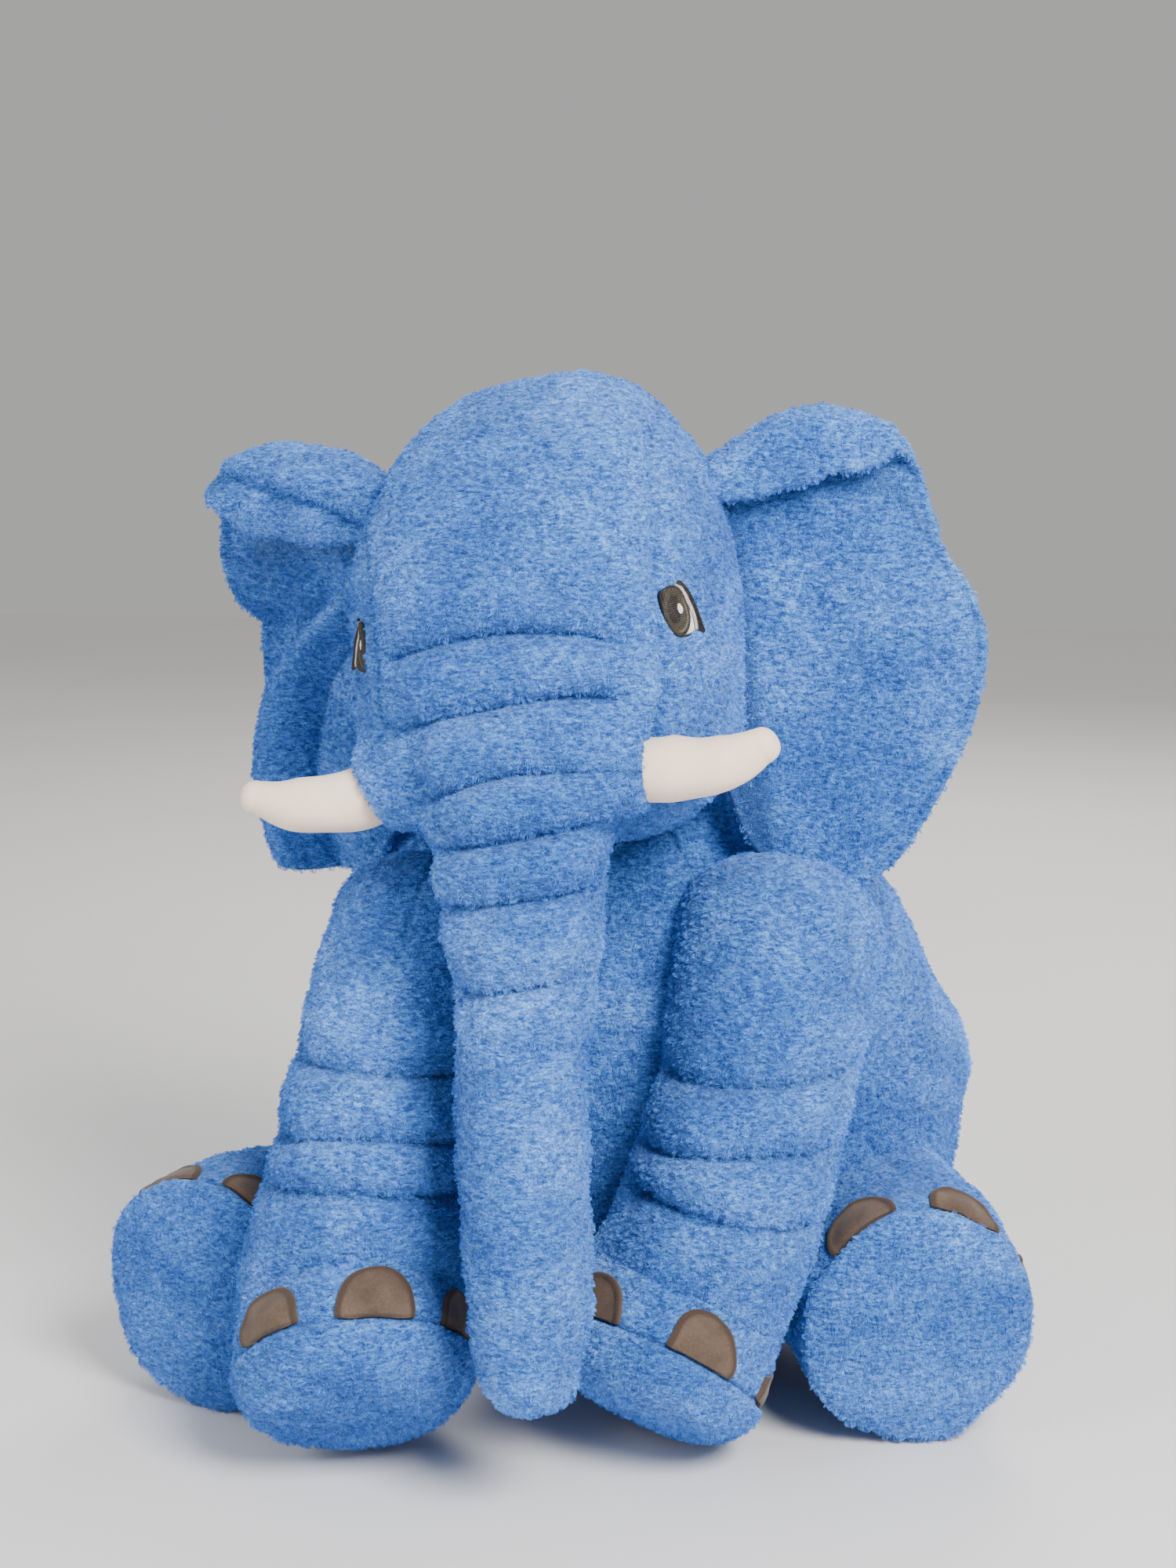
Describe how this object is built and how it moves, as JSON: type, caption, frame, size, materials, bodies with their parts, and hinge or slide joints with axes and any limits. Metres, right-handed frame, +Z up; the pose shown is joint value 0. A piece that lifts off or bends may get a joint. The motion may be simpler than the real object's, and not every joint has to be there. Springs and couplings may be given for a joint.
{
  "type": "stuffed elephant",
  "caption": "Sitting stuffed elephant of short blue plush with floppy ears, a long tucked trunk, cream tusks and round flat-soled feet.",
  "frame": {"origin": "middle of the footprint, on the surface the elephant sits on", "axes": "+Z up, -Y is where the body faces, +X is the elephant's own left"},
  "size_m": [0.54, 0.4696, 0.5967],
  "materials": {
    "body_plush": "short brushed plush pile",
    "tusk_plush": "smooth short pile",
    "nail_felt": "flat felt with stitched edge",
    "eye_embroidery": "satin stitch embroidery",
    "stuffing": "loose polyester fibre"
  },
  "bodies": {
    "torso": {"belly_gusset": "body_plush", "torso_panel_left": "body_plush", "torso_panel_right": "body_plush", "base_panel": "body_plush", "torso_stuffing": "stuffing"},
    "head": {"head_panel_left": "body_plush", "head_panel_right": "body_plush", "head_gusset": "body_plush", "chin_panel": "body_plush", "head_stuffing": "stuffing", "eye_left": "eye_embroidery", "tusk_left_cover": "tusk_plush", "tusk_left_stuffing": "stuffing", "eye_right": "eye_embroidery", "tusk_right_cover": "tusk_plush", "tusk_right_stuffing": "stuffing"},
    "left_ear": {"ear_left_front": "body_plush", "ear_left_back": "body_plush", "ear_left_wadding": "stuffing"},
    "right_ear": {"ear_right_front": "body_plush", "ear_right_back": "body_plush", "ear_right_wadding": "stuffing"},
    "trunk_upper": {"trunk_upper_front": "body_plush", "trunk_upper_back": "body_plush", "trunk_upper_stuffing": "stuffing"},
    "trunk_lower": {"trunk_lower_front": "body_plush", "trunk_lower_back": "body_plush", "trunk_lower_stuffing": "stuffing"},
    "left_front_leg": {"left_front_leg_outer": "body_plush", "left_front_leg_inner": "body_plush", "left_front_sole": "body_plush", "left_front_leg_stuffing": "stuffing", "left_front_nail_1": "nail_felt", "left_front_nail_2": "nail_felt", "left_front_nail_3": "nail_felt"},
    "right_front_leg": {"right_front_leg_inner": "body_plush", "right_front_leg_outer": "body_plush", "right_front_sole": "body_plush", "right_front_leg_stuffing": "stuffing", "right_front_nail_1": "nail_felt", "right_front_nail_2": "nail_felt", "right_front_nail_3": "nail_felt"},
    "left_hind_leg": {"left_hind_leg_outer": "body_plush", "left_hind_leg_inner": "body_plush", "left_hind_sole": "body_plush", "left_hind_leg_stuffing": "stuffing", "left_hind_nail_1": "nail_felt", "left_hind_nail_2": "nail_felt", "left_hind_nail_3": "nail_felt"},
    "right_hind_leg": {"right_hind_leg_inner": "body_plush", "right_hind_leg_outer": "body_plush", "right_hind_sole": "body_plush", "right_hind_leg_stuffing": "stuffing", "right_hind_nail_1": "nail_felt", "right_hind_nail_2": "nail_felt", "right_hind_nail_3": "nail_felt"},
    "tail": {"tail_cover": "body_plush", "tail_tuft": "body_plush"}
  },
  "joints": [
    {"name": "neck_nod", "type": "hinge", "parent": "torso", "child": "head", "pos_m": [0.01401, -0.0125, 0.38656], "axis": [0.9775, -0.1724, 0.1219], "range_deg": [-14, 0]},
    {"name": "trunk_lift", "type": "hinge", "parent": "head", "child": "trunk_upper", "pos_m": [-0.00855, -0.12907, 0.405], "axis": [0.9775, -0.1724, 0.1219], "range_deg": [-35, 0]},
    {"name": "trunk_curl", "type": "hinge", "parent": "trunk_upper", "child": "trunk_lower", "pos_m": [-0.00555, -0.17307, 0.222], "axis": [0.9775, -0.1724, 0.1219], "range_deg": [-35, 0]},
    {"name": "left_ear_flap", "type": "hinge", "parent": "head", "child": "left_ear", "pos_m": [0.09762, -0.06075, 0.46822], "axis": [0.12, -0.0212, -0.9925], "range_deg": [0, 28], "stiffness_Nm_per_rad": 0.05},
    {"name": "right_ear_flap", "type": "hinge", "parent": "head", "child": "right_ear", "pos_m": [-0.09787, -0.02628, 0.44385], "axis": [-0.12, 0.0212, 0.9925], "range_deg": [0, 28], "stiffness_Nm_per_rad": 0.05},
    {"name": "left_front_leg_swing", "type": "hinge", "parent": "torso", "child": "left_front_leg", "pos_m": [0.12445, -0.05707, 0.292], "axis": [0.8829, 0.4695, 0], "range_deg": [-40, 0]},
    {"name": "right_front_leg_swing", "type": "hinge", "parent": "torso", "child": "right_front_leg", "pos_m": [-0.07955, -0.06107, 0.286], "axis": [0.9397, -0.342, 0], "range_deg": [-40, 0]},
    {"name": "left_hind_leg_splay", "type": "hinge", "parent": "torso", "child": "left_hind_leg", "pos_m": [0.15245, 0.05293, 0.088], "axis": [0, 0, 1], "range_deg": [0, 20], "stiffness_Nm_per_rad": 0.2},
    {"name": "right_hind_leg_splay", "type": "hinge", "parent": "torso", "child": "right_hind_leg", "pos_m": [-0.12755, 0.05293, 0.088], "axis": [0, 0, -1], "range_deg": [0, 20], "stiffness_Nm_per_rad": 0.2},
    {"name": "tail_lift", "type": "hinge", "parent": "torso", "child": "tail", "pos_m": [0.02245, 0.19993, 0.096], "axis": [1, 0, 0], "range_deg": [0, 45]}
  ]
}
